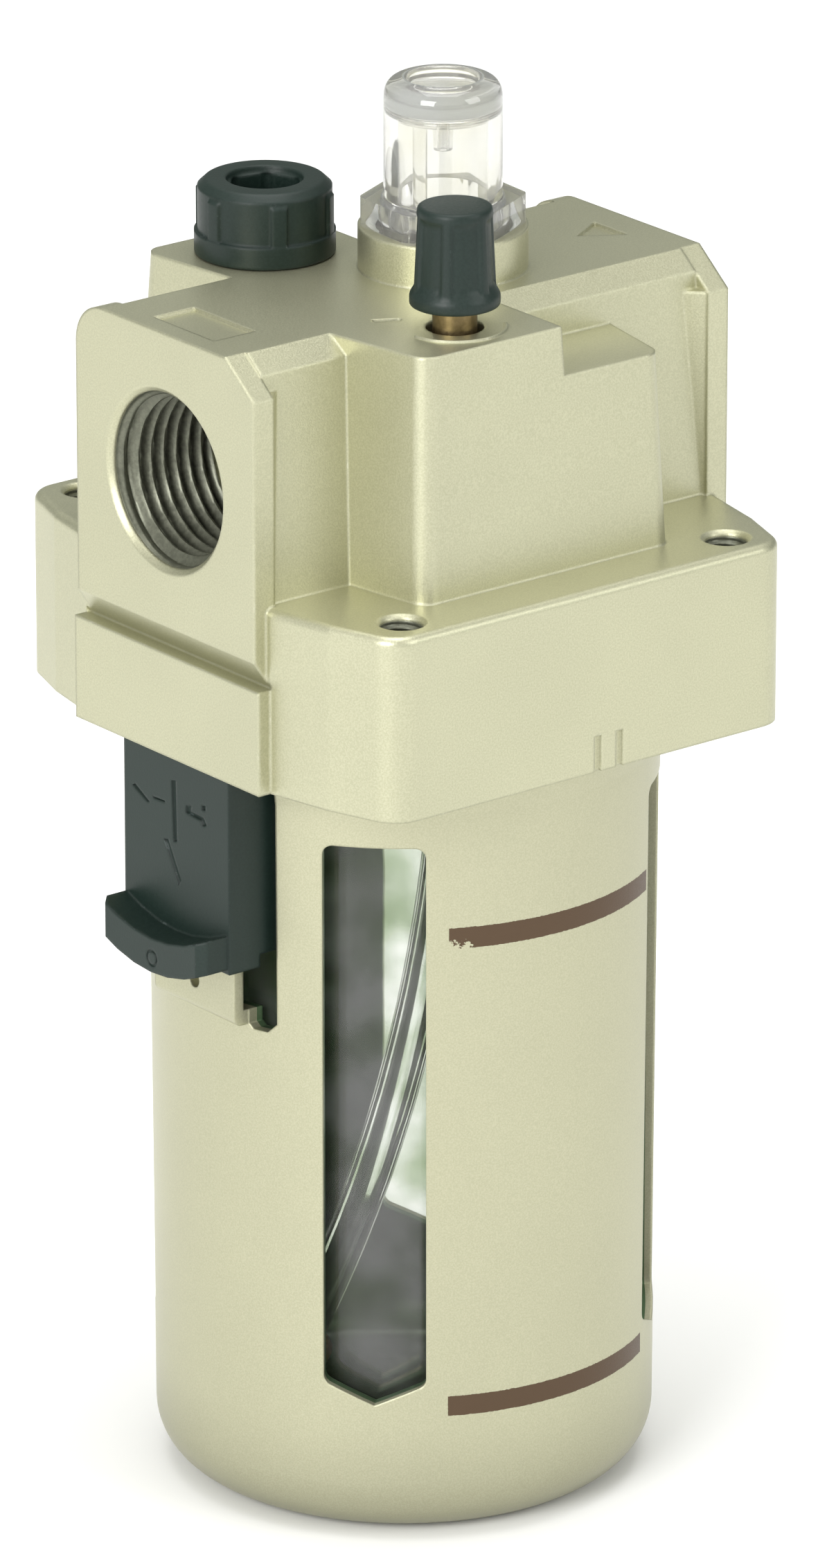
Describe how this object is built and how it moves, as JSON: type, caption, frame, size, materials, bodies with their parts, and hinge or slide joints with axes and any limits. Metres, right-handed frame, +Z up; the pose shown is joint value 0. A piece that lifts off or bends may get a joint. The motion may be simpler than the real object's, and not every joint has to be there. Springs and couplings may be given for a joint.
{
  "type": "air line lubricator",
  "caption": "Oil mist lubricator for a compressed air line: cast body with threaded ports, sight dome, needle knob, fill plug and a guarded clear bowl with a latch.",
  "frame": {"origin": "centre of the flat base of the bowl guard", "axes": "+X along the air flow axis from the inlet port to the outlet port, +Z up, -Y towards the knob side"},
  "size_m": [0.0726, 0.07, 0.17],
  "materials": {
    "cast": "fine grained champagne paint on die-cast metal",
    "guard": "fine grained champagne paint on drawn metal",
    "black_plastic": "moulded dark slate plastic",
    "clear_dome": "clear polycarbonate",
    "clear_bowl": "clear polycarbonate",
    "clear_tube": "clear flexible tube",
    "brass": "turned brass",
    "seal": "nitrile rubber",
    "spring_steel": "spring steel",
    "ball_steel": "polished steel",
    "filter_bronze": "sintered bronze",
    "insert_plastic": "moulded natural plastic"
  },
  "bodies": {
    "housing": {"body": "cast", "sight_dome": "clear_dome", "dome_oring": "seal", "drip_insert": "clear_dome", "needle_gland": "brass", "siphon_adapter": "insert_plastic", "check_ball": "ball_steel", "siphon_tube": "clear_tube", "siphon_filter": "filter_bronze", "damper_holder": "insert_plastic", "flow_damper": "seal"},
    "needle_seal": {"needle_oring": "seal"},
    "needle": {"needle_stem": "brass", "needle_knob": "black_plastic"},
    "plug_seal": {"plug_oring": "seal"},
    "plug": {"fill_plug": "black_plastic"},
    "bowl": {"bowl_guard": "guard", "inner_bowl": "clear_bowl", "bowl_oring": "seal", "latch_spring": "spring_steel"},
    "latch": {"latch_button": "black_plastic"}
  },
  "joints": [
    {"name": "needle_lift", "type": "slide", "parent": "housing", "child": "needle_seal", "axis": [0, 0, 1], "range_m": [0, 0.0015]},
    {"name": "knob_turn", "type": "hinge", "parent": "needle_seal", "child": "needle", "pos_m": [-0.0074, -0.0188, 0.14715], "axis": [0, 0, 1], "range_deg": [0, 720]},
    {"name": "plug_lift", "type": "slide", "parent": "housing", "child": "plug_seal", "axis": [0, 0, 1], "range_m": [0, 0.0045]},
    {"name": "plug_turn", "type": "hinge", "parent": "plug_seal", "child": "plug", "pos_m": [-0.0067, 0.0177, 0.14715], "axis": [0, 0, 1], "range_deg": [0, 1080]},
    {"name": "bowl_turn", "type": "hinge", "parent": "housing", "child": "bowl", "pos_m": [0, 0, 0.0957], "axis": [0, 0, 1], "range_deg": [0, 45]},
    {"name": "latch_slide", "type": "slide", "parent": "bowl", "child": "latch", "axis": [0, 0, -1], "range_m": [0, 0.004], "stiffness_N_per_m": 800, "springref_m": -0.002, "deforming": ["latch_spring"]}
  ],
  "couplings": [
    {"joint": "needle_lift", "follows": "knob_turn", "m_per_rad": 0.00011937},
    {"joint": "plug_lift", "follows": "plug_turn", "m_per_rad": 0.00023873}
  ]
}
